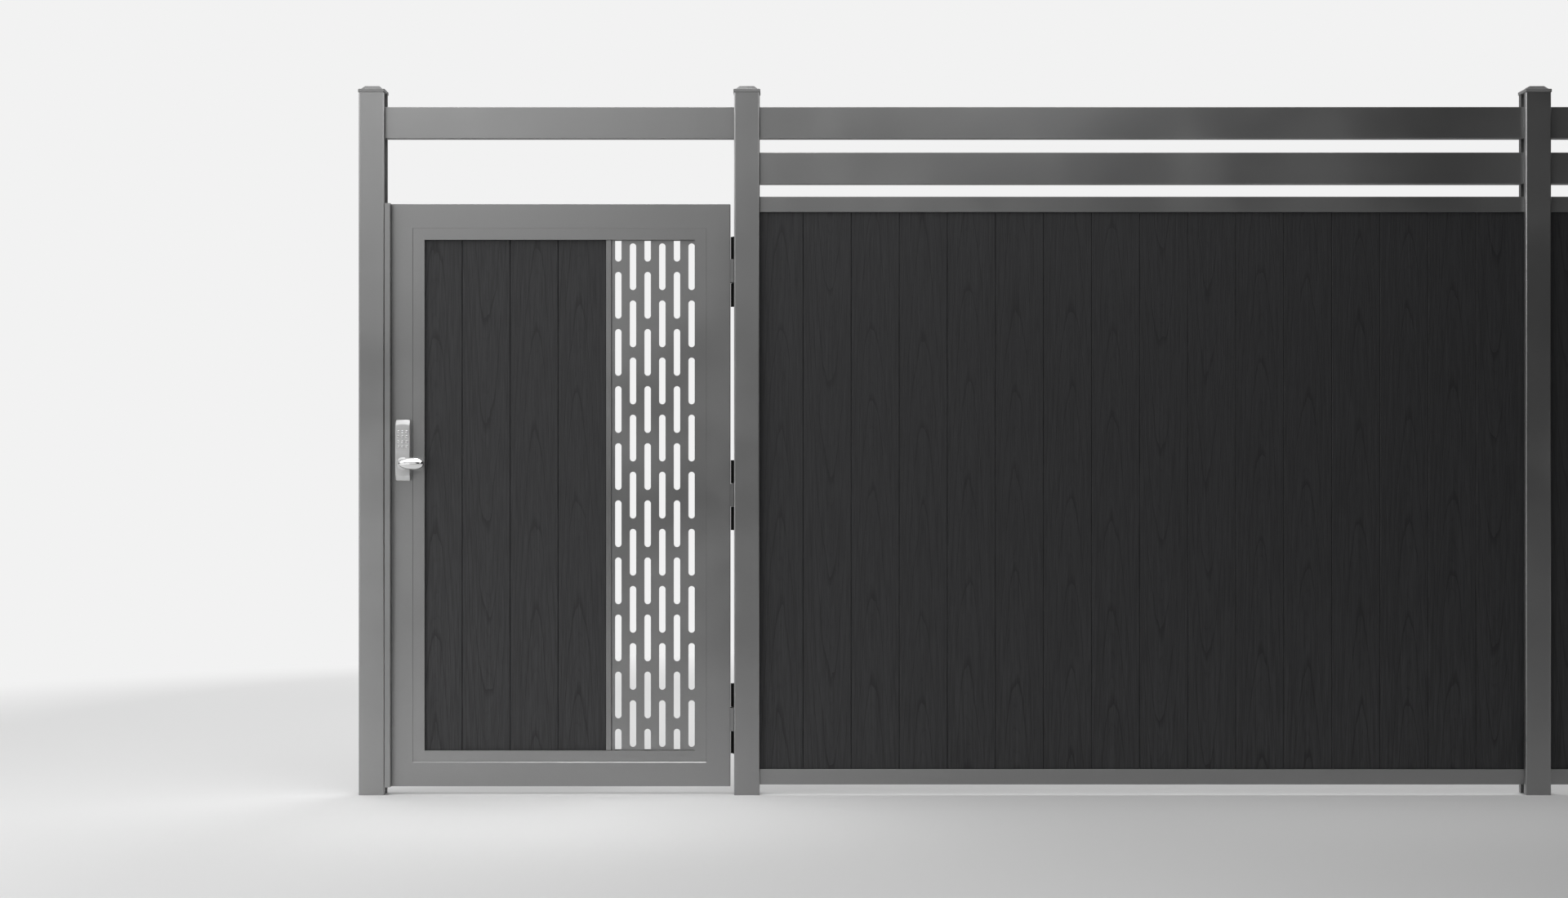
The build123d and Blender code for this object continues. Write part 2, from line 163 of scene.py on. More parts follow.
# Levers; the neck's flare is in shares of its radius and length
LEVER_POINT = 0.55
LEVER_BLUNT = 0.40
LEVER_DEEP = 0.024
LEVER_RIDGE = 1.3
LEVER_STATIONS = 64
LEVER_SIDES = 64
NECK_RADIUS = 0.009
NECK_FLARE = [(1.0, 0.0), (1.0, 0.5), (1.05, 0.75), (1.1, 0.95)]
NECK_SIDES = 48

# Cover on the latch stop
COVER_FACE = -0.036
COVER_SHEET = 0.002
COVER_SIDE = 0.004
COVER_GAP = 0.0006
COVER_LAP = 0.006

# Edges
EDGE_RADIUS = 0.0007
EDGE_SEGMENTS = 2
EDGE_ANGLE = math.radians(30)
WELD_DISTANCE = 0.00001
SHARP_ANGLE = math.radians(32)

# Camera, matched to the photograph
CAMERA_PLACE = (0.1165, -8.13, 1.0)
CAMERA_LENS = 59.3
CAMERA_SENSOR = 36.0
CAMERA_SHIFT_Y = 0.0173

# Background and floor
BACKGROUND = 0.888
FLOOR_ALBEDO = 0.80
FLOOR_ROUGHNESS = 0.7
FLOOR_SPECULAR = 0.2
FLOOR_HALF_WIDTH = 16.0
FLOOR_NEAR = -14.0
FLOOR_FAR = 12.0
FLOOR_MIDDLE = (0.9, 0.3, 0.0)
FLOOR_FADE_START = 3.6
FLOOR_FADE_END = 6.2
BEHIND_FADE_START = 0.5
BEHIND_FADE_END = 7.0

# Dim room that lights the object, by the height and depth of a direction
ROOM_DIM = 0.008
ROOM_CEILING = 0.045
CEILING_FROM = 0.10
CEILING_TO = 0.75
ROOM_BACK = 0.07
ROOM_BACK_TO = 0.5

# Directions in which reflections show the pale background
MIRROR_SIDE_FROM = 0.35
MIRROR_SIDE_TO = 0.75
MIRROR_BACK_TO = 0.3

# Soft lamps in metres, watts and degrees; one without a target points straight down
LAMPS = {
    "ceiling": {"place": (-1.9, -2.0, 4.2), "width": 8.0, "height": 4.6, "power": 185.0},
    "front_panel": {"place": (-2.6, -8.6, 3.6), "target": (-0.8, 0.0, 1.2),
                    "width": 5.0, "height": 2.5, "power": 40.0},
    "front_box": {"place": (-2.4, -6.0, 4.2), "target": (-0.8, 0.0, 0.8),
                  "width": 3.0, "height": 2.5, "power": 12.0},
    "left_panel": {"place": (-5.0, -4.0, 1.8), "target": (-0.5, 0.0, 1.0),
                   "width": 4.0, "height": 3.5, "power": 34.0},
    "low_panel": {"place": (-3.4, -3.4, 0.5), "target": (-0.8, 0.0, 0.2),
                  "width": 3.0, "height": 0.9, "power": 6.5, "spread_deg": 110.0},
    "back_box": {"place": (-3.5, 3.5, 4.4), "width": 4.0, "height": 4.0, "power": 122.0},
    "back_panel": {"place": (2.6, 4.6, 3.4), "target": (1.6, 0.0, 1.0),
                   "width": 6.0, "height": 2.4, "power": 110.0, "spread_deg": 110.0, "mirrored": False},
    "gate_floor": {"place": (-0.45, -0.55, 3.6),
                   "width": 1.4, "height": 1.0, "power": 2.0, "spread_deg": 36.0},
    "bay_floor": {"place": (2.6, -0.55, 3.6),
                  "width": 3.0, "height": 1.0, "power": 1.6, "spread_deg": 36.0},
    "far_end": {"place": (7.0, 0.0, 4.2),
                "width": 3.0, "height": 5.0, "power": 55.0, "spread_deg": 80.0},
    "spark": {"place": (1.4, -4.6, 3.6), "target": (-1.05, 0.0, 1.04),
              "width": 0.3, "height": 0.3, "power": 6.0},
}


def grey(value):
    """An opaque grey."""
    return (value, value, value, 1.0)


def evenly(scale):
    """The same stretch on each axis."""
    return (scale, scale, scale)


# Node helpers

def add_node(tree, kind, inputs=None, **settings):
    """Make a shader node, set its options, and fill or link its inputs."""
    made = tree.nodes.new(kind)
    for key, value in settings.items():
        setattr(made, key, value)
    for key, value in (inputs or {}).items():
        socket = made.inputs[key]
        if isinstance(value, bpy.types.NodeSocket):
            tree.links.new(value, socket)
        else:
            socket.default_value = value
    return made


def calc(tree, operation, a, b=0.0):
    """One Math node; returns its output."""
    return add_node(tree, "ShaderNodeMath", {0: a, 1: b}, operation=operation).outputs[0]


def clamped(tree, value):
    """The value, kept between 0 and 1."""
    return add_node(tree, "ShaderNodeClamp", {"Value": value}).outputs["Result"]


def weighted_sum(tree, layers, start=None):
    """Add up pairs of a value and its weight, on top of a start value where there is one."""
    total = start
    for value, weight in layers:
        share = calc(tree, "MULTIPLY", value, weight)
        total = share if total is None else calc(tree, "ADD", total, share)
    return total


def remap(tree, value, low, high, to_low=0.0, to_high=1.0, smooth=True):
    """Map a value from one range to another, clamped."""
    kind = "SMOOTHSTEP" if smooth else "LINEAR"
    made = add_node(tree, "ShaderNodeMapRange", {"Value": value, "From Min": low, "From Max": high,
                                                 "To Min": to_low, "To Max": to_high},
                    interpolation_type=kind)
    return made.outputs["Result"]


def noise(tree, coords, stretch, detail=2.0, roughness=0.5):
    """Noise over coordinates that are first stretched by a factor on each axis."""
    mapped = add_node(tree, "ShaderNodeMapping", {"Vector": coords, "Scale": stretch})
    made = add_node(tree, "ShaderNodeTexNoise", {"Vector": mapped.outputs[0], "Scale": 1.0,
                                                 "Detail": detail, "Roughness": roughness})
    return made.outputs["Fac"]


def start_material(name):
    """A new material; returns it with its tree, its shader and the rest coordinates in metres."""
    material = bpy.data.materials.new(name)
    material.use_nodes = True
    tree = material.node_tree
    shader = tree.nodes["Principled BSDF"]
    coords = add_node(tree, "ShaderNodeTexCoord").outputs["Object"]
    return material, tree, shader, coords


def tint(tree, shader, factor, dark, light):
    """Drive the base colour between two colours."""
    mix = add_node(tree, "ShaderNodeMix", {"Factor": factor, "A": dark, "B": light}, data_type="RGBA")
    tree.links.new(mix.outputs["Result"], shader.inputs["Base Color"])


def bump(tree, shader, height, distance, strength):
    """Raise the surface by a height value."""
    made = add_node(tree, "ShaderNodeBump", {"Height": height, "Distance": distance, "Strength": strength})
    tree.links.new(made.outputs["Normal"], shader.inputs["Normal"])


# Materials

def coating(name, dark, light, metallic, roughness):
    """Satin powder coat: fine flecks, a slight cloudiness and an orange-peel skin."""
    material, tree, shader, coords = start_material(name)
    cloud = noise(tree, coords, evenly(CLOUD_SCALE), detail=3.0)
    fleck = noise(tree, coords, evenly(FLECK_SCALE), detail=1.0)
    shade = weighted_sum(tree, [(cloud, CLOUD_WEIGHT), (fleck, FLECK_WEIGHT)])
    tint(tree, shader, shade, dark, light)
    smoothest = roughness - COAT_GLOSS_SWING
    roughest = roughness + COAT_GLOSS_SWING
    gloss = remap(tree, cloud, NOISE_LOW, NOISE_HIGH, smoothest, roughest)
    tree.links.new(gloss, shader.inputs["Roughness"])
    shader.inputs["Metallic"].default_value = metallic
    peel = noise(tree, coords, evenly(PEEL_SCALE))
    bump(tree, shader, peel, PEEL_HEIGHT, PEEL_STRENGTH)
    return material


def arch_phase(tree, coords, first_edge, seed):
    """How far up the arches of its own board a point lies, in arches."""
    place = add_node(tree, "ShaderNodeSeparateXYZ", {0: coords})
    across = calc(tree, "DIVIDE", calc(tree, "SUBTRACT", place.outputs["X"], first_edge), BOARD_COVER)
    number = calc(tree, "ADD", calc(tree, "FLOOR", across), seed)
    chance = add_node(tree, "ShaderNodeTexWhiteNoise", {"W": number}, noise_dimensions="1D")
    lot = add_node(tree, "ShaderNodeSeparateColor", {0: chance.outputs["Color"]})
    middle = remap(tree, lot.outputs["Green"], 0.0, 1.0, ARCH_MIDDLE_LOW, ARCH_MIDDLE_HIGH, smooth=False)
    side = calc(tree, "MULTIPLY", calc(tree, "SUBTRACT", calc(tree, "FRACT", across), middle), BOARD_COVER)
    upward = calc(tree, "GREATER_THAN", lot.outputs["Red"], ARCH_DOWN_SHARE)
    way = calc(tree, "SUBTRACT", calc(tree, "MULTIPLY", upward, 2.0), 1.0)
    rise = calc(tree, "MULTIPLY", place.outputs["Z"], way)
    arch = calc(tree, "DIVIDE", calc(tree, "MULTIPLY", side, side), ARCH_DROP)
    even_phase = calc(tree, "DIVIDE", calc(tree, "ADD", rise, arch), ARCH_SPACING)
    wander = noise(tree, coords, WANDER_STRETCH, detail=3.0)
    ripple = noise(tree, coords, RIPPLE_STRETCH)
    layers = [(lot.outputs["Blue"], ARCH_SHIFT), (wander, WANDER_WEIGHT), (ripple, RIPPLE_WEIGHT)]
    return weighted_sum(tree, layers, even_phase)


def board_material(name, first_edge, seed):
    """Charcoal composite with dark arched lines in its grain and fine upright fibres."""
    material, tree, shader, coords = start_material(name)
    phase = arch_phase(tree, coords, first_edge, seed)
    ring = calc(tree, "FRACT", phase)
    line_rise = remap(tree, ring, 0.0, LINE_RISE_END)
    line_fade = remap(tree, ring, LINE_FADE_START, LINE_FADE_END, 1.0, 0.0)
    line = calc(tree, "MULTIPLY", line_rise, line_fade)
    fine_ring = calc(tree, "FRACT", calc(tree, "MULTIPLY", phase, FINE_LINES))
    fine_line = remap(tree, fine_ring, 0.0, FINE_LINE_FADE_END, 1.0, 0.0)
    band = noise(tree, coords, BAND_STRETCH, detail=3.0, roughness=BAND_ROUGHNESS)
    streak = noise(tree, coords, STREAK_STRETCH)
    fibre = noise(tree, coords, FIBRE_STRETCH)
    layers = [
        (remap(tree, band, NOISE_LOW, NOISE_HIGH), BAND_WEIGHT),
        (remap(tree, streak, NOISE_LOW, NOISE_HIGH), STREAK_WEIGHT),
        (fibre, FIBRE_WEIGHT),
        (line, LINE_WEIGHT),
        (fine_line, FINE_LINE_WEIGHT),
        (remap(tree, streak, PORE_START, PORE_FULL), PORE_WEIGHT),
    ]
    shade = clamped(tree, weighted_sum(tree, layers))
    tint(tree, shader, shade, BOARD_DARK, BOARD_LIGHT)
    gloss = remap(tree, shade, BOARD_GLOSS_FROM, BOARD_GLOSS_TO, BOARD_DARK_ROUGHNESS, BOARD_LIGHT_ROUGHNESS)
    tree.links.new(gloss, shader.inputs["Roughness"])
    bump(tree, shader, shade, BOARD_RELIEF, BOARD_RELIEF_STRENGTH)
    return material


def cast_metal(name, dark, light, metallic, roughness, speckle, skin):
    """Plated or cast metal with a fine skin and slightly uneven gloss."""
    material, tree, shader, coords = start_material(name)
    cloud = noise(tree, coords, evenly(METAL_CLOUD_SCALE), detail=3.0)
    grain = noise(tree, coords, evenly(speckle), detail=1.0)
    shade = weighted_sum(tree, [(cloud, METAL_CLOUD_WEIGHT), (grain, METAL_GRAIN_WEIGHT)])
    tint(tree, shader, shade, dark, light)
    smoothest = roughness * (1 - METAL_GLOSS_SWING)
    roughest = roughness * (1 + METAL_GLOSS_SWING)
    gloss = remap(tree, cloud, NOISE_LOW, NOISE_HIGH, smoothest, roughest)
    tree.links.new(gloss, shader.inputs["Roughness"])
    shader.inputs["Metallic"].default_value = metallic
    bump(tree, shader, grain, skin, METAL_SKIN_STRENGTH)
    return material


grey_coating = coating("satin_grey_coat", dark=grey(0.31), light=grey(0.38), metallic=0.85, roughness=0.33)
cap_coating = coating("moulded_cap", dark=grey(0.24), light=grey(0.29), metallic=0.4, roughness=0.5)
black_coating = coating("matt_black_coat", dark=grey(0.008), light=grey(0.016), metallic=0.0, roughness=0.5)
lock_satin = cast_metal("satin_casting", dark=grey(0.60), light=grey(0.66),
                        metallic=0.65, roughness=0.40, speckle=2200.0, skin=0.00002)
button_metal = cast_metal("polished_buttons", dark=grey(0.78), light=grey(0.86),
                          metallic=1.0, roughness=0.16, speckle=2200.0, skin=0.000004)
lever_chrome = cast_metal("polished_lever", dark=grey(0.71), light=grey(0.77),
                          metallic=1.0, roughness=0.08, speckle=900.0, skin=0.000004)
pin_steel = cast_metal("plain_steel", dark=grey(0.38), light=grey(0.50),
                       metallic=1.0, roughness=0.35, speckle=1800.0, skin=0.00002)

board_materials = {}
for node_name, node_seed in BOARD_SEEDS.items():
    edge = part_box(node_name)[0].x
    board_materials[node_name] = board_material(f"composite_{node_name}", edge, node_seed)

slot_materials = {"grey_coating": grey_coating, "black_coating": black_coating, "lock_satin": lock_satin,
                  "lever_chrome": lever_chrome, "pin_steel": pin_steel}


def dress(piece, material):
    """Give a piece one material."""
    piece.data.materials.clear()
    piece.data.materials.append(material)


def ease_edges(piece):
    """Round the sharp edges of a metal section."""
    weld = piece.modifiers.new("weld", "WELD")
    weld.merge_threshold = WELD_DISTANCE
    bevel = piece.modifiers.new("ease", "BEVEL")
    bevel.width = EDGE_RADIUS
    bevel.segments = EDGE_SEGMENTS
    bevel.limit_method = "ANGLE"
    bevel.angle_limit = EDGE_ANGLE
    bevel.harden_normals = True


for subpart in frame["record"]["subparts"]:
    cad_piece = frame["nodes"][subpart["node"]]
    slot_name = subpart["material_slot"]
    if slot_name == "composite_board":
        dress(cad_piece, board_materials[subpart["node"]])
    elif subpart["node"].endswith("_cap"):
        dress(cad_piece, cap_coating)
    else:
        dress(cad_piece, slot_materials[slot_name])
    if slot_name == "grey_coating" and not subpart["node"].startswith("leaf"):
        ease_edges(cad_piece)


# Mesh helpers

def new_piece(name, build, body, slot_name, material, *stands_for):
    """Make a mesh piece, dress it and let it ride on a body in place of the named nodes."""
    mesh = bpy.data.meshes.new(name)
    made = bmesh.new()
    build(made)
    bmesh.ops.recalc_face_normals(made, faces=made.faces)
    made.to_mesh(mesh)
    made.free()
    for polygon in mesh.polygons:
        polygon.use_smooth = True
    mesh.set_sharp_from_angle(angle=SHARP_ANGLE)
    piece = bpy.data.objects.new(name, mesh)
    bpy.context.scene.collection.objects.link(piece)
    dress(piece, material)
    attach(piece, body)
    if stands_for:
        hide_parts(*stands_for)


def bridge(made, rings):
    """Skin a row of equal rings of points and close both ends."""
    verts = [[made.verts.new(p) for p in ring] for ring in rings]
    for low, high in zip(verts, verts[1:]):
        for i in range(len(low)):
            j = (i + 1) % len(low)
            made.faces.new((low[i], low[j], high[j], high[i]))
    made.faces.new(verts[0][::-1])
    made.faces.new(verts[-1])


def lathe(made, centre, outward, profile, sides):
    """Turn a profile of (radius, height) about a line through centre along Y."""
    rings = []
    for radius, height in profile:
        ring = []
        for i in range(sides):
            angle = 2 * math.pi * i / sides
            ring.append((centre.x + radius * math.cos(angle), centre.y + outward * height,
                         centre.z + radius * math.sin(angle)))
        rings.append(ring)
    bridge(made, rings)


def add_box(made, low, high):
    """A plain block between two corners."""
    place = Matrix.Translation((low + high) / 2) @ Matrix.Diagonal((*(high - low), 1.0))
    bmesh.ops.create_cube(made, size=1.0, matrix=place)


def arc(radius, run):
    """How far a quarter round of this radius drops at a run in from its edge."""
    inside = 1.0 - min(max(run / radius, 0.0), 1.0)
    return radius * (1.0 - math.sqrt(1.0 - inside * inside))


def eased_share(step, steps):
    """The share from 0 to 1 of one step, with steps closer together at both ends."""
    return (1 - math.cos(math.pi * step / steps)) / 2


# Lock

lock_low, lock_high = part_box("lock_front_case")
back_low, back_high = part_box("lock_back_case")
lever_joint = next(j for j in frame["joints"] if j["name"] == "lever_turn")
lever_axis = Vector(lever_joint["pos_m"])
button_low, button_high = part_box("lock_buttons")
keypad_low = button_low.z + BUTTON_RADIUS - KEYPAD_BORDER
keypad_high = button_high.z - BUTTON_RADIUS + KEYPAD_BORDER


def grid_shares(count, ledges):
    """Shares from 0 to 1 for the lines of a grid, with a pair of lines at each ledge."""
    shares = [eased_share(k, count) for k in range(count + 1)]
    for ledge in ledges:
        shares += [ledge - STEP_SHARE, ledge + STEP_SHARE]
    return sorted(shares)


def end_slope(from_end, across, depth):
    """How far the case's front falls back near an end, a little sooner at its sides."""
    gap = LOCK_SLOPE_LENGTH + LOCK_SLOPE_ARCH * across * across - from_end
    soft_gap = (gap + math.sqrt(gap * gap + LOCK_BLEND * LOCK_BLEND)) / 2
    return soft_gap * depth * LOCK_SLOPE_SHARE / LOCK_SLOPE_LENGTH


def lock_body(made, low, high, seat, outward, depth, has_keypad):
    """A long lock case with sloped ends, eased edges, round corners and a shallow keypad."""
    tall = high.z - low.z
    half_width = (high.x - low.x) / 2
    centre_x = (high.x + low.x) / 2
    ledge = (1 - KEYPAD_WIDTH / 2 / half_width) / 2
    rows = grid_shares(LOCK_ROWS, [(z - low.z) / tall for z in (keypad_low, keypad_high)])
    columns = grid_shares(LOCK_COLUMNS, [ledge, 1 - ledge])
    grid = []
    for row in rows:
        z = low.z + tall * row
        from_end = min(z - low.z, high.z - z)
        run = half_width - arc(LOCK_CORNER, from_end)
        line = []
        for column in columns:
            across = 2 * column - 1
            x = centre_x + run * across
            drop = end_slope(from_end, across, depth) + arc(LOCK_EDGE, from_end)
            drop += arc(LOCK_EDGE, run * (1 - abs(across)))
            if has_keypad and keypad_low < z < keypad_high and abs(x - centre_x) < KEYPAD_WIDTH / 2:
                drop += KEYPAD_RECESS
            line.append(made.verts.new((x, seat + outward * (depth - drop), z)))
        grid.append(line)
    for lower, upper in zip(grid, grid[1:]):
        for i in range(len(columns) - 1):
            made.faces.new((lower[i], lower[i + 1], upper[i + 1], upper[i]))
    right_side = [line[-1] for line in grid[:-1]]
    left_side = [line[0] for line in grid[:0:-1]]
    border = grid[0][:-1] + right_side + grid[-1][:0:-1] + left_side
    foot = [made.verts.new((v.co.x, seat, v.co.z)) for v in border]
    for i in range(len(border)):
        j = (i + 1) % len(border)
        made.faces.new((border[i], border[j], foot[j], foot[i]))
    made.faces.new(foot)


def rose_profile(depth):
    """The conical ring round the lever's neck, on a case of this depth."""
    top = depth + ROSE_HEIGHT
    return [
        (ROSE_RADIUS, depth - ROSE_SUNK),
        (ROSE_RADIUS, depth + ROSE_BEVEL),
        (ROSE_RADIUS - ROSE_BEVEL, depth + 2 * ROSE_BEVEL),
        (ROSE_TOP_RADIUS + ROSE_EASE_RUN, top - ROSE_EASE_DROP),
        (ROSE_TOP_RADIUS, top),
        (NECK_RADIUS, top),
    ]


def case_builder(low, high, outward, has_keypad):
    """A builder for one lock case with its rose, in the place of one plain case."""
    seat = high.y if outward < 0 else low.y
    depth = high.y - low.y - ROSE_HEIGHT

    def build(made):
        lock_body(made, low, high, seat, outward, depth, has_keypad)
        lathe(made, Vector((lever_axis.x, seat, lever_axis.z)), outward, rose_profile(depth), ROSE_SIDES)

    return build


def buttons(made):
    """Round buttons with a raised rim and a dished middle."""
    step_x = (button_high.x - button_low.x - 2 * BUTTON_RADIUS) / (BUTTON_COLUMNS - 1)
    step_z = (button_high.z - button_low.z - 2 * BUTTON_RADIUS) / (BUTTON_ROWS - 1)
    rim = BUTTON_RADIUS * BUTTON_RIM_SHARE
    profile = [(BUTTON_RADIUS, 0.0)]
    for k in range(BUTTON_STEPS + 1):
        turn = math.pi * k / BUTTON_STEPS
        radius = BUTTON_RADIUS - rim + rim * math.cos(turn)
        profile.append((radius, BUTTON_FOOT + BUTTON_DOME * math.sin(turn)))
    profile.append((rim / 2, BUTTON_FOOT - BUTTON_DISH))
    for row in range(BUTTON_ROWS):
        for column in range(BUTTON_COLUMNS):
            centre = Vector((button_low.x + BUTTON_RADIUS + column * step_x, button_high.y,
                             button_low.z + BUTTON_RADIUS + row * step_z))
            lathe(made, centre, -1, profile, BUTTON_SIDES)


# Levers

def teardrop(share):
    """The lever's thickness at a share of its length, 1 at its fattest."""
    fattest = LEVER_POINT / (LEVER_POINT + LEVER_BLUNT)
    return (share / fattest) ** LEVER_POINT * ((1 - share) / (1 - fattest)) ** LEVER_BLUNT


def ridged(turn):
    """A cosine or sine drawn in towards a soft ridge, for a section between an oval and a diamond."""
    return math.copysign(abs(turn) ** LEVER_RIDGE, turn)


def lever_builder(node_name, outward):
    """A builder for a smooth teardrop lever on its neck, in the place of one plain lever."""
    low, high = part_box(node_name)
    centre_y = (low.y if outward < 0 else high.y) - outward * LEVER_DEEP / 2
    root = high.y if outward < 0 else low.y
    half_tall = (high.z - low.z) / 2

    def build(made):
        rings = []
        for k in range(1, LEVER_STATIONS):
            share = eased_share(k, LEVER_STATIONS)
            fat = teardrop(share)
            x = low.x + share * (high.x - low.x)
            ring = []
            for i in range(LEVER_SIDES):
                angle = 2 * math.pi * i / LEVER_SIDES
                ring.append((x, centre_y + fat * LEVER_DEEP / 2 * ridged(math.cos(angle)),
                             lever_axis.z + fat * half_tall * ridged(math.sin(angle))))
            rings.append(ring)
        bridge(made, rings)
        length = abs(centre_y - root)
        profile = [(NECK_RADIUS * wide, length * along) for wide, along in NECK_FLARE]
        lathe(made, Vector((lever_axis.x, root, lever_axis.z)), outward, profile, NECK_SIDES)

    return build


# Screen

def slot_outline(x, low, high):
    """Points round one upright slot with half-round ends."""
    radius = SLOT_WIDTH / 2
    points = []
    for centre, start in ((high - radius, 0.0), (low + radius, math.pi)):
        for k in range(SLOT_END_STEPS + 1):
            angle = start + math.pi * k / SLOT_END_STEPS
            points.append((x + radius * math.cos(angle), centre + radius * math.sin(angle)))
    return points


def screen_outlines():
    """The sheet's edge and its staggered columns of slots, in the plane of the leaf."""
    low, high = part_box("leaf_screen")
    mouth_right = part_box("leaf_hinge_bead")[0].x
    mouth_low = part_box("leaf_bottom_bead")[1].z
    mouth_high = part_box("leaf_top_bead")[0].z
    left = low.x + FOLD_RADIUS
    outlines = [[(left, low.z), (high.x, low.z), (high.x, high.z), (left, high.z)]]
    for column in range(SLOT_COLUMNS):
        x = mouth_right - SLOT_WIDTH / 2 - column * SLOT_COLUMN_PITCH
        count = SLOT_ROWS + column % 2
        for i in range(count):
            z = (mouth_low + mouth_high) / 2 + SLOT_PITCH * (i - (count - 1) / 2)
            slot_low = max(z - SLOT_LENGTH / 2, mouth_low - SLOT_HIDDEN)
            slot_high = min(z + SLOT_LENGTH / 2, mouth_high + SLOT_HIDDEN)
            outlines.append(slot_outline(x, slot_low, slot_high))
    return outlines


def punched_sheet(made, front):
    """The flat of the screen with its slots, its face at front."""
    outline = bpy.data.curves.new("screen_outline", "CURVE")
    outline.dimensions = "2D"
    outline.fill_mode = "BOTH"
    outline.extrude = SHEET / 2 - SHEET_EDGE
    outline.bevel_depth = SHEET_EDGE
    outline.bevel_resolution = 1
    outline.offset = -SHEET_EDGE
    for points in screen_outlines():
        spline = outline.splines.new("POLY")
        spline.points.add(len(points) - 1)
        spline.use_cyclic_u = True
        for point, (x, z) in zip(spline.points, points):
            point.co = (x, z, 0.0, 1.0)
    holder = bpy.data.objects.new("screen_outline", outline)
    bpy.context.scene.collection.objects.link(holder)
    filled = bpy.data.meshes.new_from_object(holder.evaluated_get(bpy.context.evaluated_depsgraph_get()))
    upright = Matrix.Rotation(math.pi / 2, 4, "X")
    filled.transform(Matrix.Translation((0.0, front + SHEET / 2, 0.0)) @ upright)
    made.from_mesh(filled)
    bpy.data.objects.remove(holder)
    bpy.data.curves.remove(outline)
    bpy.data.meshes.remove(filled)


def rounded_fold(made, low, high):
    """The quarter round along the screen's left edge."""
    rings = []
    for z in (low.z, high.z):
        ring = [(low.x + FOLD_RADIUS, low.y + FOLD_RADIUS, z)]
        for k in range(FOLD_STEPS + 1):
            angle = math.pi / 2 * k / FOLD_STEPS
            x = low.x + FOLD_RADIUS * (1 - math.sin(angle))
            y = low.y + FOLD_RADIUS * (1 - math.cos(angle))
            ring.append((x, y, z))
        rings.append(ring)
    bridge(made, rings)


def screen(made):
    """A sheet with punched slots, folded back along its edges."""
    low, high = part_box("leaf_screen")
    punched_sheet(made, low.y)
    rounded_fold(made, low, high)
    rear = low.y + SHEET
    left = low.x + SHEET
    right = high.x - SHEET
    add_box(made, Vector((low.x, low.y + FOLD_RADIUS, low.z)), Vector((left, high.y, high.z)))
    add_box(made, Vector((right, rear, low.z)), Vector((high.x, high.y, high.z)))
    add_box(made, Vector((left, rear, low.z)), Vector((right, high.y, low.z + SHEET)))
    add_box(made, Vector((left, rear, high.z - SHEET)), Vector((right, high.y, high.z)))


# Stop cover

def stop_cover(made):
    """A thin angle over the latch stop, almost flush with the post's front."""
    low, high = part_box("latch_stop")
    post_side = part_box("latch_post")[1].x
    edge = high.x + COVER_SIDE
    inner = COVER_FACE + COVER_SHEET
    add_box(made, Vector((post_side + COVER_GAP, COVER_FACE, low.z)), Vector((edge, inner, high.z)))
    add_box(made, Vector((high.x, inner, low.z)), Vector((edge, low.y + COVER_LAP, high.z)))


front_case = case_builder(lock_low, lock_high, -1, True)
back_case = case_builder(back_low, back_high, 1, False)
front_lever = lever_builder("lever_front", -1)
back_lever = lever_builder("lever_back", 1)

new_piece("slotted_screen", screen, "leaf", "grey_coating", grey_coating, "leaf_screen")
new_piece("lock_front", front_case, "leaf", "lock_satin", lock_satin, "lock_front_case")
new_piece("lock_back", back_case, "leaf", "lock_satin", lock_satin, "lock_back_case")
new_piece("stop_cover", stop_cover, "fence", "grey_coating", grey_coating)
new_piece("keypad_buttons", buttons, "leaf", "lock_satin", button_metal, "lock_buttons")
new_piece("front_lever", front_lever, "lever", "lever_chrome", lever_chrome, "lever_front")
new_piece("back_lever", back_lever, "lever", "lever_chrome", lever_chrome, "lever_back")


# Stage

def floor_material():
    """Pale floor that melts into the background, behind the fence and all round it."""
    material, tree, shader, coords = start_material("floor")
    shader.inputs["Base Color"].default_value = grey(FLOOR_ALBEDO)
    shader.inputs["Roughness"].default_value = FLOOR_ROUGHNESS
    shader.inputs["Specular IOR Level"].default_value = FLOOR_SPECULAR
    place = add_node(tree, "ShaderNodeSeparateXYZ", {0: coords})
    behind = remap(tree, place.outputs["Y"], BEHIND_FADE_START, BEHIND_FADE_END)
    reach = add_node(tree, "ShaderNodeVectorMath", {0: coords, 1: FLOOR_MIDDLE}, operation="DISTANCE")
    around = remap(tree, reach.outputs["Value"], FLOOR_FADE_START, FLOOR_FADE_END)
    path = add_node(tree, "ShaderNodeLightPath")
    seen = calc(tree, "MULTIPLY", calc(tree, "MAXIMUM", behind, around), path.outputs["Is Camera Ray"])
    pale = add_node(tree, "ShaderNodeEmission", {"Color": grey(BACKGROUND), "Strength": 1.0})
    mix = add_node(tree, "ShaderNodeMixShader", {0: seen, 1: shader.outputs[0], 2: pale.outputs[0]})
    tree.links.new(mix.outputs[0], tree.nodes["Material Output"].inputs["Surface"])
    return material


def lay_floor():
    """One wide flat floor under the posts."""
    left = -FLOOR_HALF_WIDTH
    right = FLOOR_HALF_WIDTH
    corners = [
        (left, FLOOR_NEAR, 0.0),
        (right, FLOOR_NEAR, 0.0),
        (right, FLOOR_FAR, 0.0),
        (left, FLOOR_FAR, 0.0),
    ]
    mesh = bpy.data.meshes.new("floor")
    mesh.from_pydata(corners, [], [(0, 1, 2, 3)])
    piece = bpy.data.objects.new("floor", mesh)
    bpy.context.scene.collection.objects.link(piece)
    piece.data.materials.append(floor_material())


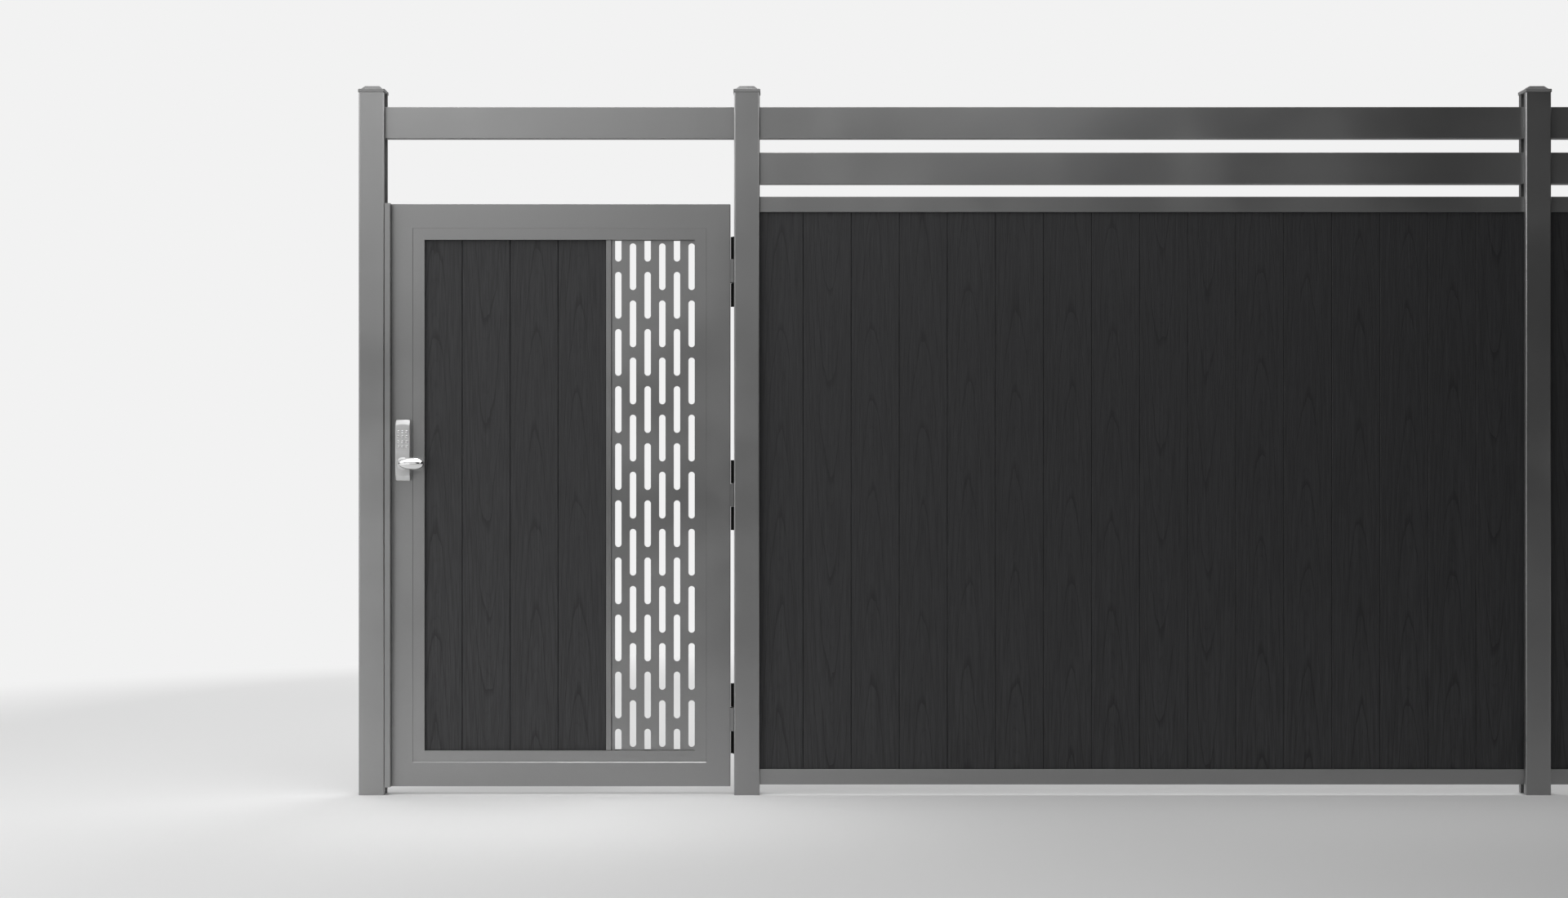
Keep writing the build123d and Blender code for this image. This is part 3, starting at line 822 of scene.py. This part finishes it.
def set_world():
    """Pale background to the camera and at the sides in reflections; a dim room for the light."""
    world = bpy.data.worlds.new("studio")
    bpy.context.scene.world = world
    world.use_nodes = True
    tree = world.node_tree
    tree.nodes.clear()
    direction = add_node(tree, "ShaderNodeTexCoord").outputs["Generated"]
    place = add_node(tree, "ShaderNodeSeparateXYZ", {0: direction})
    ceiling = remap(tree, place.outputs["Z"], CEILING_FROM, CEILING_TO, ROOM_DIM, ROOM_CEILING)
    behind = remap(tree, place.outputs["Y"], 0.0, ROOM_BACK_TO, 0.0, ROOM_BACK)
    room = calc(tree, "ADD", ceiling, behind)
    light = add_node(tree, "ShaderNodeBackground", {"Color": grey(1.0), "Strength": room})
    shown = add_node(tree, "ShaderNodeBackground", {"Color": grey(BACKGROUND), "Strength": 1.0})
    path = add_node(tree, "ShaderNodeLightPath")
    bounced = calc(tree, "ADD", path.outputs["Is Glossy Ray"], path.outputs["Is Transmission Ray"])
    aside = remap(tree, calc(tree, "ABSOLUTE", place.outputs["X"]), MIRROR_SIDE_FROM, MIRROR_SIDE_TO)
    beyond = remap(tree, place.outputs["Y"], 0.0, MIRROR_BACK_TO)
    mirrored = calc(tree, "MULTIPLY", bounced, calc(tree, "MULTIPLY", aside, beyond))
    seen = clamped(tree, calc(tree, "ADD", path.outputs["Is Camera Ray"], mirrored))
    mix = add_node(tree, "ShaderNodeMixShader", {0: seen, 1: light.outputs[0], 2: shown.outputs[0]})
    out = add_node(tree, "ShaderNodeOutputWorld")
    tree.links.new(mix.outputs[0], out.inputs["Surface"])


def soft_box(name, place, width, height, power, target=None, spread_deg=180.0, mirrored=True):
    """A soft lamp that the camera doesn't see."""
    lamp = bpy.data.lights.new(name, "AREA")
    lamp.shape = "RECTANGLE"
    lamp.size = width
    lamp.size_y = height
    lamp.energy = power
    lamp.spread = math.radians(spread_deg)
    aim = Vector(target or (place[0], place[1], 0.0)) - Vector(place)
    holder = bpy.data.objects.new(name, lamp)
    holder.location = place
    holder.rotation_euler = aim.to_track_quat("-Z", "Y").to_euler()
    holder.visible_camera = False
    holder.visible_glossy = mirrored
    bpy.context.scene.collection.objects.link(holder)


def set_camera():
    """A level camera that sees the gate as the photograph does."""
    lens = bpy.data.cameras.new("camera")
    lens.lens = CAMERA_LENS
    lens.sensor_width = CAMERA_SENSOR
    lens.sensor_fit = "HORIZONTAL"
    lens.shift_y = CAMERA_SHIFT_Y
    holder = bpy.data.objects.new("camera", lens)
    holder.location = CAMERA_PLACE
    holder.rotation_euler = (math.radians(90), 0.0, 0.0)
    bpy.context.scene.collection.objects.link(holder)
    bpy.context.scene.camera = holder


lay_floor()
set_world()
for lamp_name, lamp_settings in LAMPS.items():
    soft_box(lamp_name, **lamp_settings)
set_camera()
bpy.context.scene.view_settings.view_transform = "Standard"
